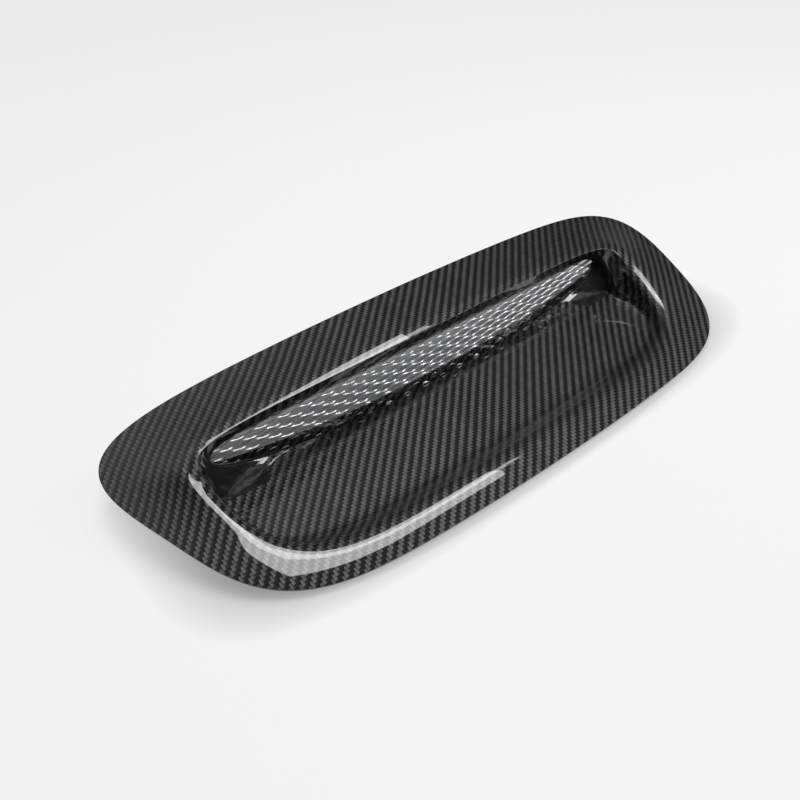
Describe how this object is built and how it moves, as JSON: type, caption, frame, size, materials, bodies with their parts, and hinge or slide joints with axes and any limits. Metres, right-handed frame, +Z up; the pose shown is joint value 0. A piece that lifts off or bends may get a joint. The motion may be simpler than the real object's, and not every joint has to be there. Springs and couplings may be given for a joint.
{
  "type": "bonnet scoop",
  "caption": "Low bonnet scoop in glossy woven carbon: a curved flange round a sunken air ramp, a raised lip and a diamond grille bonded in the slot.",
  "frame": {"origin": "middle of the bounding box's base: on the car's centre line, at the level of the lowest point", "axes": "+X to the car's right as seen from the front, +Y rearwards, +Z up; the intake faces -Y and the flange slopes nose down as on a bonnet"},
  "size_m": [0.4918, 0.185, 0.0553],
  "materials": {
    "carbon_laminate": "twill weave under glossy clear coat",
    "expanded_aluminium": "bright",
    "boss_resin": "cast",
    "stud_steel": "zinc plated"
  },
  "bodies": {
    "root": {"scoop_shell": "carbon_laminate", "mesh_grille": "expanded_aluminium", "boss_front_left": "boss_resin", "boss_front_right": "boss_resin", "boss_rear_left": "boss_resin", "boss_rear_right": "boss_resin", "stud_front_left": "stud_steel", "stud_front_right": "stud_steel", "stud_rear_left": "stud_steel", "stud_rear_right": "stud_steel"}
  },
  "joints": []
}
